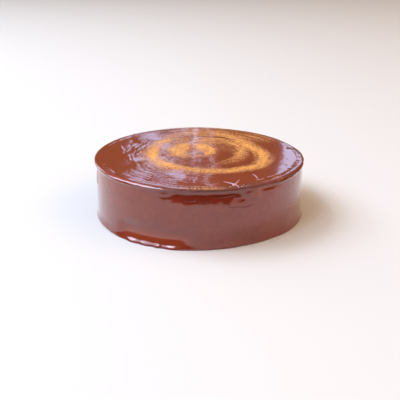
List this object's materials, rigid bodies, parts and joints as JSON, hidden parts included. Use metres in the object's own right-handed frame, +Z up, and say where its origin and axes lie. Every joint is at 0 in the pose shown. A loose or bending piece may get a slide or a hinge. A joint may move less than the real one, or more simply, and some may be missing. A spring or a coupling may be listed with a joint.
{
  "type": "chocolate cake",
  "caption": "Round uncut chocolate cake under a poured glossy chocolate glaze with a rolled top edge and a spiral dusting on top.",
  "frame": {"origin": "middle of the cake's flat base", "axes": "+Z up through the middle of the cake, -Y towards the side that the picture shows, +X to its right"},
  "size_m": [0.1639, 0.1642, 0.0454],
  "materials": {
    "chocolate_glaze": "poured chocolate glaze, glossy and a little wavy, with a fine tan dusting in a spiral on the top"
  },
  "bodies": {
    "root": {"chocolate_cake": "chocolate_glaze"}
  },
  "joints": []
}
